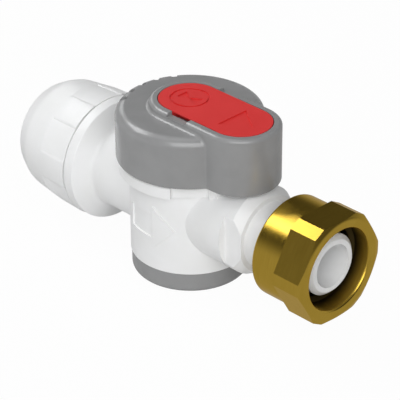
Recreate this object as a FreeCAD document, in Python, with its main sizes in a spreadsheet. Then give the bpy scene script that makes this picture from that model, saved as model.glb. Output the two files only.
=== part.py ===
import FreeCAD, Part
import Sketcher
import math
import os
import types

# Quarter-turn isolating valve: push-fit pipe socket at one end, union nut at the other.
# Millimetres, +Z up. +X runs along the flow. The origin is on the flow axis, where the
# parallel bore of the pipe socket begins, just inside its mouth.
# Every piece is drawn about the point where the stem axis crosses the flow axis,
# then placed stem_offset along X.

V = FreeCAD.Vector
doc = FreeCAD.newDocument("isolating_valve")
sheet = doc.addObject("Spreadsheet::Sheet", "dims")

# Driving sizes. Names that end in _x are distances from the stem axis along the flow,
# and names that end in _z are heights above or depths below the flow axis.
SIZES = [
    ("stem_offset", 52.4, "start of the socket's parallel bore to stem axis"),
    ("flow_bore_radius", 5.6, "water way through the valve"),
    ("running_gap", 0.08, "radial play of the turning stem"),
    ("close_gap", 0.05, "play of a part that is only assembled"),
    ("turning_gap", 0.35, "play between parts that pass each other"),
    # pipe socket and its cap
    ("pipe_bore_radius", 7.6, "socket for a 15 mm pipe"),
    ("pipe_stop_x", 25.2, "shoulder that the pipe end meets"),
    ("pocket_radius", 10.4, "pocket for seal, spacer and grab ring"),
    ("pocket_floor_x", 32.5, "inner end of the pocket"),
    ("socket_end_x", 43.0, "open end of the body's socket"),
    ("socket_wall_radius", 13.0, "outside of the socket under the cap"),
    ("flange_radius", 16.3, "rim that the cap closes against"),
    ("flange_back_x", 29.5, "face of the rim towards the cap"),
    ("flange_edge_x", 26.65, "front edge of the rim"),
    ("flange_root_x", 24.0, "where the rim's cone meets the neck"),
    ("neck_radius", 11.6, "inlet and outlet neck"),
    ("cap_face_radius", 16.5, "cap beside the rim"),
    ("cap_waist_x", 37.0, "end of the cap's grip length"),
    ("cap_waist_radius", 16.25, "radius there"),
    ("cap_waist_round", 20.0, "rounding there"),
    ("cap_shoulder_x", 46.3, "start of the cap's dome"),
    ("cap_shoulder_radius", 15.1, "radius there"),
    ("cap_shoulder_round", 7.0, "rounding there"),
    ("cap_dome_x", 51.2, "middle of the cap's dome"),
    ("cap_dome_radius", 12.6, "radius there"),
    ("cap_dome_round", 4.0, "rounding there"),
    ("cap_nose_radius", 8.9, "flat nose round the mouth"),
    ("cap_web_x", 43.3, "face that meets the socket's end"),
    ("cap_hub_x", 39.3, "end of the hub that holds the grab ring"),
    ("cap_lead_in", 0.8, "chamfer of the mouth"),
    ("cap_gap", 0.45, "open joint between cap and rim"),
    ("panel_end_x", 38.5, "where the recessed grip panels run out"),
    ("panel_end_radius", 16.06, "radius there"),
    ("panel_depth", 0.28, "depth of the grip panels"),
    ("panel_angle", 31.0, "width of a grip panel in degrees"),
    ("seal_section_radius", 1.45, "section of the pipe seal"),
    ("spacer_length", 2.95, "spacer between seal and grab ring"),
    ("grab_thickness", 0.55, "sheet thickness of the grab ring"),
    ("grab_tip_radius", 7.45, "points of the grab ring's teeth"),
    ("tooth_height", 1.3, "height of a tooth"),
    ("tooth_lean", 1.25, "how far a tooth leans inwards"),
    ("tooth_tip", 0.3, "slant of a tooth's tip"),
    ("grab_slot_width", 1.1, "gap between two teeth"),
    # chamber, collar and gland
    ("chamber_radius", 15.25, "outside of the upright chamber"),
    ("chamber_bottom_z", 14.1, "depth of the chamber's lower edge"),
    ("chamber_bore_radius", 11.0, "inside of the chamber"),
    ("ceiling_z", 7.9, "height of the chamber's ceiling"),
    ("collar_bottom_z", 8.45, "lower edge of the collar under the lever"),
    ("collar_radius", 17.8, "outside of the collar"),
    ("collar_flat", 16.15, "flat on the collar, from the stem axis"),
    ("collar_flat_half", 4.75, "half the length of that flat"),
    ("collar_top_z", 11.45, "top of the collar"),
    ("gland_floor_z", 10.4, "where the gland bore begins"),
    ("gland_pocket_radius", 6.6, "pocket for the stem's flange"),
    ("tower_radius", 8.2, "outside of the gland tower"),
    ("tower_top_z", 16.6, "top of the gland tower"),
    ("stop_inner_radius", 10.0, "inner end of the stop post"),
    ("stop_outer_radius", 13.0, "outer end of the stop post"),
    ("stop_half_width", 1.5, "half the width of the stop post"),
    ("stop_top_z", 15.0, "top of the stop post"),
    ("lug_radius", 18.5, "outer end of the lug beside the collar's flat"),
    ("lug_half_width", 2.1, "half the width of that lug"),
    ("lug_top_z", 11.0, "top of that lug"),
    ("arrow_tip_x", 8.0, "tip of the flow arrow's raised head"),
    ("arrow_head_x", 2.3, "back of the arrow's head"),
    ("arrow_shaft_angle", 33.0, "sunk shaft, its length round the chamber in degrees"),
    ("arrow_drop", 2.0, "depth of the arrow's middle line"),
    ("arrow_head_half", 5.9, "half the height of the head"),
    ("arrow_shaft_half", 3.2, "half the height of the shaft"),
    ("arrow_relief", 0.45, "height of the head above the wall and depth of the shaft"),
    # outlet neck and spigot
    ("grip_back_x", 21.4, "back of the spanner flats on the outlet neck"),
    ("grip_front_x", 24.2, "where the outlet neck begins to taper"),
    ("grip_flat", 9.5, "spanner flat, from the flow axis"),
    ("shoulder_x", 26.9, "end face of the outlet neck"),
    ("shoulder_radius", 9.95, "radius of that face"),
    ("shank_radius", 8.6, "shank that the nut turns on"),
    ("shank_end_x", 40.5, "shoulder that carries the washer"),
    ("nose_radius", 7.9, "spigot inside the nut"),
    ("washer_seat_radius", 7.3, "spigot under the washer"),
    ("nose_length", 5.55, "length of the spigot in front of the washer"),
    ("nose_chamfer", 1.1, "chamfer of the spigot's end"),
    ("ring_groove_x", 37.0, "back of the retaining ring's groove"),
    ("ring_groove_width", 1.6, "width of that groove"),
    ("ring_groove_radius", 7.2, "floor of that groove"),
    ("ring_radius", 10.1, "outside of the retaining ring"),
    ("ring_gap_half", 1.6, "half the gap in the retaining ring"),
    # union nut and washer
    ("nut_back_x", 33.6, "back of the union nut"),
    ("nut_collar_radius", 13.0, "round part of the nut"),
    ("nut_hex_x", 42.0, "back of the nut's hexagon"),
    ("nut_front_x", 50.4, "front of the nut"),
    ("nut_flat", 13.1, "flat of the hexagon, from the flow axis"),
    ("nut_corner", 14.15, "truncated corner, from the flow axis"),
    ("nut_face_radius", 12.7, "edge of the nut's turned front face"),
    ("nut_cone_length", 0.38, "length of the front cone per millimetre of radius"),
    ("nut_face_round", 1.8, "rounding between the front face and that cone"),
    ("nut_lip_x", 36.65, "front of the lip inside the nut"),
    ("thread_radius", 10.48, "root of the half-inch pipe thread"),
    ("mouth_round", 0.8, "rounding of the nut's mouth"),
    ("washer_radius", 9.15, "outside of the sealing washer"),
    ("washer_thickness", 1.8, "thickness of the sealing washer"),
    # ball, seats and stem
    ("ball_radius", 8.0, "ball"),
    ("ball_bore_radius", 5.0, "water way through the ball"),
    ("slot_half_width", 2.4, "half the width of the slot in the ball"),
    ("slot_floor_z", 5.7, "floor of that slot"),
    ("seat_bore_radius", 5.3, "inside of a seat ring"),
    ("seat_radius", 7.2, "outside of a seat ring"),
    ("seat_end_x", 12.4, "far end of a seat ring"),
    ("seat_face_x", 5.0, "end of a seat ring that faces the ball"),
    ("seat_cone_length", 1.4, "length of the cone that meets the ball"),
    ("seat_cone_height", 1.35, "height of that cone"),
    ("stem_radius", 5.0, "stem in the gland"),
    ("stem_flange_radius", 6.2, "flange that keeps the stem in"),
    ("stem_flange_bottom_z", 8.3, "underside of that flange"),
    ("stem_flange_top_z", 9.7, "top of that flange"),
    ("stem_groove_radius", 3.7, "floor of the seal grooves"),
    ("stem_groove_width", 1.5, "width of the seal grooves"),
    ("stem_groove_low_z", 11.5, "bottom of the lower seal groove"),
    ("stem_groove_high_z", 13.8, "bottom of the upper seal groove"),
    ("stem_seal_section", 0.64, "section radius of the stem seals"),
    ("stem_square_z", 16.9, "bottom of the square"),
    ("stem_square_half", 3.2, "half the width of the square"),
    ("stem_top_z", 21.3, "top of the stem"),
    ("tang_half_length", 4.2, "half the length of the tang in the ball"),
    ("tang_bottom_z", 5.9, "underside of the tang"),
    ("screw_radius", 1.95, "thread of the lever's screw"),
    ("screw_bottom_z", 14.0, "end of the screw"),
    # base cap
    ("base_radius", 15.0, "base cap"),
    ("base_bottom_z", 19.77, "depth of the underside"),
    ("base_round", 1.6, "rounding of the lower edge"),
    ("base_recess_radius", 11.0, "recess in the underside"),
    ("base_recess_depth", 1.3, "depth of that recess"),
    ("plug_top_z", 8.5, "depth of the plug's top"),
    ("plug_cup_radius", 8.2, "hollow in the plug"),
    ("plug_cup_z", 12.4, "depth of that hollow's floor"),
    ("plug_groove_z", 12.4, "depth of the bottom of the seal groove"),
    ("plug_groove_width", 1.7, "width of that groove"),
    ("plug_groove_radius", 9.5, "floor of that groove"),
    ("plug_seal_section", 0.72, "section radius of that seal"),
    # lever
    ("lever_bottom_z", 11.8, "underside of the lever"),
    ("disc_top_z", 25.3, "top of the lever's disc"),
    ("disc_radius", 18.5, "lever's disc"),
    ("disc_round", 2.5, "rounding of the disc's top edge"),
    ("skirt_round", 0.7, "rounding of the lower edge"),
    ("lever_top_z", 27.4, "top of the raised lever"),
    ("lever_reach", 17.45, "stem axis to the lever's end centre"),
    ("lever_radius", 10.0, "rounded end of the lever"),
    ("lever_round", 1.0, "rounding of the lever's rim"),
    ("lever_root_round", 0.9, "hollow rounding between lever and disc"),
    ("cavity_radius", 15.0, "hollow under the disc"),
    ("cavity_end_radius", 7.7, "hollow under the lever's end"),
    ("cavity_top_z", 21.6, "top of the hollow"),
    ("hub_radius", 7.0, "hub on the stem's square"),
    ("hub_bottom_z", 17.2, "underside of the hub"),
    ("rib_inner_radius", 9.2, "inner end of a stop rib"),
    ("rib_half_width", 1.0, "half the width of a stop rib"),
    ("rib_bottom_z", 12.6, "underside of a stop rib"),
    ("notch_floor", 16.0, "stem axis to the floor of a finger notch"),
    ("notch_half_width", 0.95, "half the width of a finger notch"),
    ("notch_bottom_z", 13.6, "lower end of the finger notches"),
    ("prise_start_x", 2.0, "slot beside the insert, near end"),
    ("prise_end_x", 8.6, "slot beside the insert, far end"),
    ("prise_floor_z", 26.55, "floor of that slot"),
    ("prise_slit", 0.4, "width of the deeper slit along the insert"),
    ("prise_lip", 0.3, "thickness of the insert's edge over the slit"),
    ("prise_undercut", 2.2, "hollow under that edge"),
    ("insert_floor_z", 24.8, "floor of the insert's pocket"),
    ("insert_radius", 7.78, "insert"),
    ("insert_gap", 0.22, "gap round the insert"),
    ("head_radius", 3.6, "screw head"),
    ("head_floor_z", 22.8, "seat of the screw head"),
    ("head_top_z", 24.5, "top of the screw head"),
    ("driver_half_width", 0.5, "half the width of the cross recess"),
    ("driver_half_length", 2.2, "half the length of the cross recess"),
    ("driver_depth", 1.1, "depth of the cross recess"),
    ("mark_depth", 0.3, "depth of the marks in the insert"),
    ("mark_ring_radius", 5.0, "outside of the round mark"),
    ("mark_line", 0.55, "width of the round mark's line"),
    ("mark_wing", 2.9, "half the width of the valve sign"),
    ("mark_head_x", 14.4, "back of the insert's arrow head"),
    ("mark_tip_x", 21.6, "tip of the insert's arrow"),
    ("mark_head_half", 4.9, "half the width of the arrow head"),
]
for row, (name, value, note) in enumerate(SIZES, 1):
    sheet.set("A%d" % row, note)
    sheet.set("B%d" % row, str(value))
    sheet.setAlias("B%d" % row, name)
doc.recompute()


class Size:
    """A length with its value and the sheet expression that drives it."""

    def __init__(self, value, text):
        self.value = float(value)
        self.text = text

    def __add__(self, other):
        other = size(other)
        return Size(self.value + other.value, "(%s + %s)" % (self.text, other.text))

    def __sub__(self, other):
        other = size(other)
        return Size(self.value - other.value, "(%s - %s)" % (self.text, other.text))

    def __mul__(self, factor):
        return Size(self.value * factor, "(%s * %.9f)" % (self.text, factor))

    def __neg__(self):
        return Size(-self.value, "(0 - %s)" % self.text)


def size(entry):
    """Turns a plain number into a Size."""
    if isinstance(entry, Size):
        return entry
    return Size(entry, "%.9f" % entry)


d = types.SimpleNamespace()
for name, value, note in SIZES:
    setattr(d, name, Size(value, "dims." + name))


# Drawing helpers

def new_body(label):
    """A body drawn about the stem axis and placed along the flow."""
    body = doc.addObject("PartDesign::Body", label)
    body.Label = label
    body.setExpression("Placement.Base.x", d.stem_offset.text)
    return body


def origin_of(body, role):
    """One of the body's own planes or axes."""
    return [entry for entry in body.Origin.OriginFeatures if entry.Role == role][0]


def sketch_on(body, role, name, offset=None):
    """An empty sketch on one of the body's planes, moved along its normal."""
    sketch = body.newObject("Sketcher::SketchObject", name)
    sketch.AttachmentSupport = [(origin_of(body, role), "")]
    sketch.MapMode = "FlatFace"
    if offset is not None:
        sketch.AttachmentOffset = FreeCAD.Placement(V(0, 0, offset.value), FreeCAD.Rotation())
        sketch.setExpression("AttachmentOffset.Base.z", offset.text)
    return sketch


def bind(sketch, constraint, wanted):
    """Adds a dimension and drives it from the sheet."""
    index = sketch.addConstraint(constraint)
    sketch.setExpression("Constraints[%d]" % index, wanted.text)


def pin(sketch, geometry, place, corner):
    """Fixes a point of the sketch at the corner's two coordinates."""
    for kind, axis, wanted in (("DistanceX", -2, size(corner[0])), ("DistanceY", -1, size(corner[1]))):
        if wanted.value == 0:
            sketch.addConstraint(Sketcher.Constraint("PointOnObject", geometry, place, axis))
        else:
            bind(sketch, Sketcher.Constraint(kind, -1, 1, geometry, place, wanted.value), wanted)


def outline(sketch, corners):
    """A closed loop of straight edges; a corner's third entry rounds it."""
    points = [V(size(c[0]).value, size(c[1]).value, 0) for c in corners]
    count = len(corners)
    stops = list(points)
    starts = list(points)
    arcs = {}
    for k in range(count):
        if len(corners[k]) == 3:
            radius = size(corners[k][2]).value
            before = (points[k - 1] - points[k]).normalize()
            after = (points[(k + 1) % count] - points[k]).normalize()
            half = before.getAngle(after) / 2
            middle = points[k] + (before + after).normalize() * (radius / math.sin(half))
            stops[k] = points[k] + before * (radius / math.tan(half))
            starts[k] = points[k] + after * (radius / math.tan(half))
            arcs[k] = (middle, radius, before.x * after.y - before.y * after.x < 0)
    lines = []
    for k in range(count):
        edge = Part.LineSegment(starts[k], stops[(k + 1) % count])
        lines.append(sketch.addGeometry(edge, False))
    for k in range(count):
        into = lines[k - 1]
        onward = lines[k]
        if k not in arcs:
            sketch.addConstraint(Sketcher.Constraint("Coincident", into, 2, onward, 1))
            pin(sketch, onward, 1, corners[k])
            continue
        middle, radius, left = arcs[k]
        first = stops[k] if left else starts[k]
        last = starts[k] if left else stops[k]
        begin = math.atan2(first.y - middle.y, first.x - middle.x)
        finish = math.atan2(last.y - middle.y, last.x - middle.x)
        if finish < begin:
            finish += 2 * math.pi
        curve = Part.ArcOfCircle(Part.Circle(middle, V(0, 0, 1), radius), begin, finish)
        arc = sketch.addGeometry(curve, False)
        corner = sketch.addGeometry(Part.Point(points[k]), True)
        sketch.addConstraint(Sketcher.Constraint("Tangent", into, 2, arc, 1 if left else 2))
        sketch.addConstraint(Sketcher.Constraint("Tangent", arc, 2 if left else 1, onward, 1))
        sketch.addConstraint(Sketcher.Constraint("PointOnObject", corner, 1, into))
        sketch.addConstraint(Sketcher.Constraint("PointOnObject", corner, 1, onward))
        pin(sketch, corner, 1, corners[k])
        bind(sketch, Sketcher.Constraint("Radius", arc, radius), size(corners[k][2]))


def circle(sketch, across, up, radius):
    """A full circle at the given centre."""
    centre = V(size(across).value, size(up).value, 0)
    ring = sketch.addGeometry(Part.Circle(centre, V(0, 0, 1), radius.value), False)
    pin(sketch, ring, 3, (across, up))
    bind(sketch, Sketcher.Constraint("Radius", ring, radius.value), radius)


def slot(sketch, reach, radius):
    """A round-ended slot from the sketch's origin along its first axis."""
    far = V(reach.value, 0, 0)
    half = math.pi / 2
    low = sketch.addGeometry(Part.LineSegment(V(0, -radius.value, 0), V(far.x, -radius.value, 0)), False)
    end = sketch.addGeometry(Part.ArcOfCircle(Part.Circle(far, V(0, 0, 1), radius.value), -half, half), False)
    high = sketch.addGeometry(Part.LineSegment(V(far.x, radius.value, 0), V(0, radius.value, 0)), False)
    near = sketch.addGeometry(
        Part.ArcOfCircle(Part.Circle(V(0, 0, 0), V(0, 0, 1), radius.value), half, 3 * half), False)
    for first, first_end, second, second_end in (
            (low, 2, end, 1), (end, 2, high, 1), (high, 2, near, 1), (near, 2, low, 1)):
        sketch.addConstraint(Sketcher.Constraint("Tangent", first, first_end, second, second_end))
    pin(sketch, near, 3, (0, 0))
    pin(sketch, end, 3, (reach, 0))
    bind(sketch, Sketcher.Constraint("Radius", near, radius.value), radius)


def turn(body, sketch, axis, kind, name):
    """Adds or cuts a full turn of the sketch about one of its axes."""
    feature = body.newObject("PartDesign::" + kind, name)
    feature.Profile = sketch
    feature.ReferenceAxis = (sketch, [axis])
    feature.Angle = 360
    doc.recompute()
    return feature


def extrude(body, sketch, length, kind, name, back=False):
    """Pads the sketch along its normal or pockets it the other way; back swaps the side."""
    feature = body.newObject("PartDesign::" + kind, name)
    feature.Profile = sketch
    feature.Length = length.value
    feature.setExpression("Length", length.text)
    feature.Reversed = back
    doc.recompute()
    return feature


def array(body, feature, role, count, name):
    """Repeats a feature evenly round one of the body's axes."""
    pattern = body.newObject("PartDesign::PolarPattern", name)
    pattern.Originals = [feature]
    pattern.Axis = (origin_of(body, role), [""])
    pattern.Angle = 360
    pattern.Occurrences = count
    body.Tip = pattern
    doc.recompute()
    return pattern


def turned(label, axis, corners):
    """A body that is one turned section: axis H_Axis is the flow, V_Axis the stem."""
    body = new_body(label)
    sketch = sketch_on(body, "XZ_Plane", label + "_section")
    outline(sketch, corners)
    turn(body, sketch, axis, "Revolution", label + "_turned")
    return body


def bar(angle, inner, outer, half):
    """Corners of a rectangle that runs outwards at the given angle."""
    c = math.cos(math.radians(angle))
    s = math.sin(math.radians(angle))
    return [(inner * c + half * s, inner * s - half * c), (outer * c + half * s, outer * s - half * c),
            (outer * c - half * s, outer * s + half * c), (inner * c - half * s, inner * s + half * c)]


# Valve body: one moulding with socket, chamber, gland tower, outlet neck and spigot

body = new_body("valve_body")

# Raised head of the flow arrow: a prism through the wall, trimmed to stand just proud of it.
sketch = sketch_on(body, "XZ_Plane", "arrow_outline")
middle = -d.arrow_drop
outline(sketch, [
    (d.arrow_tip_x, middle),
    (d.arrow_head_x, middle + d.arrow_head_half),
    (d.arrow_head_x, middle - d.arrow_head_half),
])
extrude(body, sketch, d.chamber_radius + 3.0, "Pad", "arrow_prism")
sketch = sketch_on(body, "XZ_Plane", "arrow_trim")
proud = d.chamber_radius + d.arrow_relief
outline(sketch, [(proud, -d.chamber_bottom_z), (proud * 2.0, -d.chamber_bottom_z),
                 (proud * 2.0, d.chamber_bottom_z), (proud, d.chamber_bottom_z)])
turn(body, sketch, "V_Axis", "Groove", "arrow_trimmed")

# Upright chamber, collar and gland tower.
sketch = sketch_on(body, "XZ_Plane", "chamber_section")
outline(sketch, [
    (0, -d.chamber_bottom_z),
    (d.chamber_radius, -d.chamber_bottom_z),
    (d.chamber_radius, d.collar_bottom_z),
    (d.collar_radius, d.collar_bottom_z),
    (d.collar_radius, d.collar_top_z, 0.5),
    (d.tower_radius, d.collar_top_z),
    (d.tower_radius, d.tower_top_z),
    (0, d.tower_top_z),
])
turn(body, sketch, "V_Axis", "Revolution", "chamber")

# Sunk shaft of the flow arrow, from the head round the chamber towards the pipe.
sketch = sketch_on(body, "XZ_Plane", "arrow_shaft_section")
sketch.AttachmentOffset = FreeCAD.Placement(V(0, 0, 0), FreeCAD.Rotation(V(0, 1, 0), -98.8))
shaft_floor = d.chamber_radius - d.arrow_relief
outline(sketch, [
    (shaft_floor, middle - d.arrow_shaft_half),
    (d.chamber_radius + 1.0, middle - d.arrow_shaft_half),
    (d.chamber_radius + 1.0, middle + d.arrow_shaft_half),
    (shaft_floor, middle + d.arrow_shaft_half),
])
shaft = turn(body, sketch, "V_Axis", "Groove", "arrow_shaft")
shaft.Midplane = True
shaft.setExpression("Angle", d.arrow_shaft_angle.text)
doc.recompute()

# Flat on the collar that faces between outlet and front.
sketch = sketch_on(body, "XY_Plane", "collar_flat_outline", d.collar_top_z)
inner_near, outer_near, outer_far, inner_far = bar(
    -45.0, d.collar_flat, d.collar_radius + 2.0, d.collar_flat_half)
outline(sketch, [inner_near + (0.9,), outer_near, outer_far, inner_far + (0.9,)])
extrude(body, sketch, d.collar_top_z - d.collar_bottom_z, "Pocket", "collar_flat_cut")

# Socket, necks and spigot along the flow.
sketch = sketch_on(body, "XZ_Plane", "flow_section")
groove_end = d.ring_groove_x + d.ring_groove_width
nose_back_x = d.shank_end_x + d.washer_thickness + d.close_gap * 3.0
nose_end_x = nose_back_x + d.nose_length
outline(sketch, [
    (-d.socket_end_x, 0),
    (-d.socket_end_x, d.socket_wall_radius),
    (-d.flange_back_x, d.socket_wall_radius),
    (-d.flange_back_x, d.flange_radius),
    (-d.flange_edge_x, d.flange_radius, 0.35),
    (-d.flange_root_x, d.neck_radius, 1.2),
    (d.grip_front_x, d.neck_radius),
    (d.shoulder_x, d.shoulder_radius),
    (d.shoulder_x, d.shank_radius),
    (d.ring_groove_x, d.shank_radius),
    (d.ring_groove_x, d.ring_groove_radius),
    (groove_end, d.ring_groove_radius),
    (groove_end, d.shank_radius),
    (d.shank_end_x, d.shank_radius),
    (d.shank_end_x, d.washer_seat_radius),
    (nose_back_x, d.washer_seat_radius),
    (nose_back_x, d.nose_radius),
    (nose_end_x - d.nose_chamfer, d.nose_radius),
    (nose_end_x, d.nose_radius - d.nose_chamfer),
    (nose_end_x, 0),
])
turn(body, sketch, "H_Axis", "Revolution", "flow_line")

# Two spanner flats behind the nut.
for side, name in ((1.0, "far"), (-1.0, "near")):
    sketch = sketch_on(body, "XY_Plane", "flat_outline_" + name, d.neck_radius)
    outline(sketch, [
        (d.grip_back_x, d.grip_flat * side),
        (d.shoulder_x + 1.0, d.grip_flat * side),
        (d.shoulder_x + 1.0, (d.neck_radius + 2.0) * side),
        (d.grip_back_x, (d.neck_radius + 2.0) * side),
    ])
    extrude(body, sketch, d.neck_radius * 2.0, "Pocket", "flat_cut_" + name)

# Stop post under the lever, and the lug beside the collar's flat.
sketch = sketch_on(body, "XY_Plane", "stop_outline", d.collar_top_z)
outline(sketch, bar(135.0, d.stop_inner_radius, d.stop_outer_radius, d.stop_half_width))
extrude(body, sketch, d.stop_top_z - d.collar_top_z, "Pad", "stop_post")
sketch = sketch_on(body, "XY_Plane", "lug_outline", d.collar_bottom_z)
outline(sketch, bar(-18.0, d.chamber_bore_radius + 2.0, d.lug_radius, d.lug_half_width))
extrude(body, sketch, d.lug_top_z - d.collar_bottom_z, "Pad", "collar_lug")

# Chamber bore, pocket for the stem's flange and gland bore.
sketch = sketch_on(body, "XZ_Plane", "chamber_bore_section")
gland_radius = d.stem_radius + d.running_gap
outline(sketch, [
    (0, -d.chamber_bottom_z - 1.0),
    (d.chamber_bore_radius, -d.chamber_bottom_z - 1.0),
    (d.chamber_bore_radius, d.ceiling_z),
    (d.gland_pocket_radius, d.ceiling_z),
    (d.gland_pocket_radius, d.gland_floor_z),
    (gland_radius, d.gland_floor_z),
    (gland_radius, d.tower_top_z + 1.0),
    (0, d.tower_top_z + 1.0),
])
turn(body, sketch, "V_Axis", "Groove", "chamber_bore")

# Water way, seat pockets and stepped pipe socket.
sketch = sketch_on(body, "XZ_Plane", "flow_bore_section")
seat_pocket_radius = d.seat_radius + d.close_gap * 2.0
seat_pocket_x = d.seat_end_x + d.close_gap * 2.0
outline(sketch, [
    (-d.socket_end_x - 1.0, 0),
    (-d.socket_end_x - 1.0, d.pocket_radius),
    (-d.pocket_floor_x, d.pocket_radius),
    (-d.pocket_floor_x, d.pipe_bore_radius),
    (-d.pipe_stop_x, d.pipe_bore_radius),
    (-d.pipe_stop_x, d.flow_bore_radius),
    (-seat_pocket_x, d.flow_bore_radius),
    (-seat_pocket_x, seat_pocket_radius),
    (seat_pocket_x, seat_pocket_radius),
    (seat_pocket_x, d.flow_bore_radius),
    (nose_end_x + 1.0, d.flow_bore_radius),
    (nose_end_x + 1.0, 0),
])
turn(body, sketch, "H_Axis", "Groove", "flow_bore")

# Inlet cap: a domed screw cap that keeps the grab ring and the seal in the socket

body = new_body("inlet_cap")
sketch = sketch_on(body, "XZ_Plane", "cap_section")
cap_bore = d.socket_wall_radius + d.close_gap * 2.0
hub_radius = d.pocket_radius - d.close_gap * 4.0
cap_face_x = d.flange_back_x + d.cap_gap
outline(sketch, [
    (-cap_face_x, cap_bore),
    (-cap_face_x, d.cap_face_radius),
    (-d.cap_waist_x, d.cap_waist_radius, d.cap_waist_round),
    (-d.cap_shoulder_x, d.cap_shoulder_radius, d.cap_shoulder_round),
    (-d.cap_dome_x, d.cap_dome_radius, d.cap_dome_round),
    (-d.stem_offset - d.cap_lead_in, d.cap_nose_radius, 0.6),
    (-d.stem_offset - d.cap_lead_in, d.pipe_bore_radius + d.cap_lead_in),
    (-d.stem_offset, d.pipe_bore_radius),
    (-d.cap_hub_x - 1.3, d.pipe_bore_radius),
    (-d.cap_hub_x, d.pipe_bore_radius + 1.3),
    (-d.cap_hub_x, hub_radius),
    (-d.cap_web_x, hub_radius),
    (-d.cap_web_x, cap_bore),
])
turn(body, sketch, "H_Axis", "Revolution", "cap_turned")
sketch = sketch_on(body, "XZ_Plane", "panel_section")
sketch.AttachmentOffset = FreeCAD.Placement(V(0, 0, 0), FreeCAD.Rotation(V(-1, 0, 0), d.panel_angle.value / 2))
sketch.setExpression("AttachmentOffset.Rotation.Angle", (d.panel_angle * 0.5).text)
outline(sketch, [
    (-d.panel_end_x - 2.0, d.panel_end_radius - 0.04),
    (-d.panel_end_x, d.panel_end_radius),
    (-cap_face_x + 1.0, d.cap_face_radius - d.panel_depth),
    (-cap_face_x + 1.0, d.cap_face_radius + 2.0),
    (-d.panel_end_x - 2.0, d.cap_face_radius + 2.0),
])
panel = turn(body, sketch, "H_Axis", "Groove", "grip_panel")
panel.setExpression("Angle", d.panel_angle.text)
doc.recompute()
array(body, panel, "X_Axis", 6, "grip_panels")

# Grab ring: spring steel, its teeth lean inwards and bite the pipe

grab_back_x = d.cap_hub_x - d.close_gap * 3.0
grab_front_x = grab_back_x - d.grab_thickness
ring_outer = d.pocket_radius - d.close_gap * 2.0
body = turned("grab_ring", "H_Axis", [
    (-grab_front_x, ring_outer),
    (-grab_back_x, ring_outer),
    (-grab_back_x, d.grab_tip_radius + d.tooth_height),
    (-grab_back_x + d.tooth_lean, d.grab_tip_radius),
    (-grab_back_x + d.tooth_lean + d.tooth_tip * 1.5, d.grab_tip_radius + d.tooth_tip),
    (-grab_front_x, d.grab_tip_radius + d.tooth_height + d.tooth_tip * 0.7),
])
sketch = sketch_on(body, "YZ_Plane", "grab_slot_outline", -grab_back_x - 1.0)
outline(sketch, bar(90.0, d.grab_tip_radius - d.tooth_tip, d.grab_tip_radius + d.tooth_height * 1.15,
                    d.grab_slot_width * 0.5))
cut = extrude(body, sketch, d.tooth_lean * 4.0, "Pocket", "grab_slot", True)
array(body, cut, "X_Axis", 12, "grab_slots")

# Spacer ring: backs the seal and lets the teeth lean

spacer_back_x = grab_front_x - d.close_gap * 2.0
spacer_front_x = spacer_back_x - d.spacer_length
turned("spacer_ring", "H_Axis", [
    (-spacer_front_x, d.pipe_bore_radius + 0.25),
    (-spacer_front_x, ring_outer),
    (-spacer_back_x, ring_outer),
    (-spacer_back_x, d.pipe_bore_radius + 1.55),
    (-spacer_back_x + 1.5, d.pipe_bore_radius + 0.25),
])


# Seals: rubber rings of round section

def seal(label, about_flow, ring_radius, section_radius, along):
    """A rubber ring about the flow axis or the stem axis."""
    ring = doc.addObject("Part::Torus", label)
    ring.Label = label
    ring.setExpression("Radius1", ring_radius.text)
    ring.setExpression("Radius2", section_radius.text)
    if about_flow:
        ring.Placement = FreeCAD.Placement(V(0, 0, 0), FreeCAD.Rotation(V(0, 1, 0), 90))
        ring.setExpression("Placement.Base.x", (d.stem_offset + along).text)
    else:
        ring.setExpression("Placement.Base.x", d.stem_offset.text)
        ring.setExpression("Placement.Base.z", along.text)
    return ring


seal("inlet_o_ring", True, d.pocket_radius - d.close_gap - d.seal_section_radius, d.seal_section_radius,
     -d.pocket_floor_x - d.seal_section_radius - d.close_gap)
stem_seal = d.stem_groove_radius + d.close_gap * 0.5 + d.stem_seal_section
groove_middle = d.stem_groove_width * 0.5
seal("stem_o_ring_lower", False, stem_seal, d.stem_seal_section, d.stem_groove_low_z + groove_middle)
seal("stem_o_ring_upper", False, stem_seal, d.stem_seal_section, d.stem_groove_high_z + groove_middle)
seal("base_cap_o_ring", False, d.plug_groove_radius + d.close_gap * 0.5 + d.plug_seal_section,
     d.plug_seal_section, d.plug_groove_width * 0.5 - d.plug_groove_z)

# Seat rings: the ball turns between them

for label, way in (("inlet_seat", -1.0), ("outlet_seat", 1.0)):
    turned(label, "H_Axis", [
        ((d.seat_face_x + d.seat_cone_length) * way, d.seat_bore_radius),
        (d.seat_end_x * way, d.seat_bore_radius),
        (d.seat_end_x * way, d.seat_radius),
        (d.seat_face_x * way, d.seat_radius),
        (d.seat_face_x * way, d.seat_bore_radius + d.seat_cone_height),
    ])

# Ball: bored across, with a slot for the stem's tang

ball = doc.addObject("Part::Sphere", "ball_sphere")
ball.setExpression("Radius", d.ball_radius.text)
bore = doc.addObject("Part::Cylinder", "ball_bore")
bore.setExpression("Radius", d.ball_bore_radius.text)
bore.setExpression("Height", (d.ball_radius * 3.0).text)
bore.Placement = FreeCAD.Placement(V(0, 0, 0), FreeCAD.Rotation(V(0, 1, 0), 90))
bore.setExpression("Placement.Base.x", (d.ball_radius * -1.5).text)
groove = doc.addObject("Part::Box", "ball_slot")
groove.setExpression("Length", (d.slot_half_width * 2.0).text)
groove.setExpression("Width", (d.ball_radius * 3.0).text)
groove.setExpression("Height", d.ball_radius.text)
groove.setExpression("Placement.Base.x", (-d.slot_half_width).text)
groove.setExpression("Placement.Base.y", (d.ball_radius * -1.5).text)
groove.setExpression("Placement.Base.z", d.slot_floor_z.text)
drilled = doc.addObject("Part::Cut", "ball_drilled")
drilled.Base = ball
drilled.Tool = bore
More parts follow.
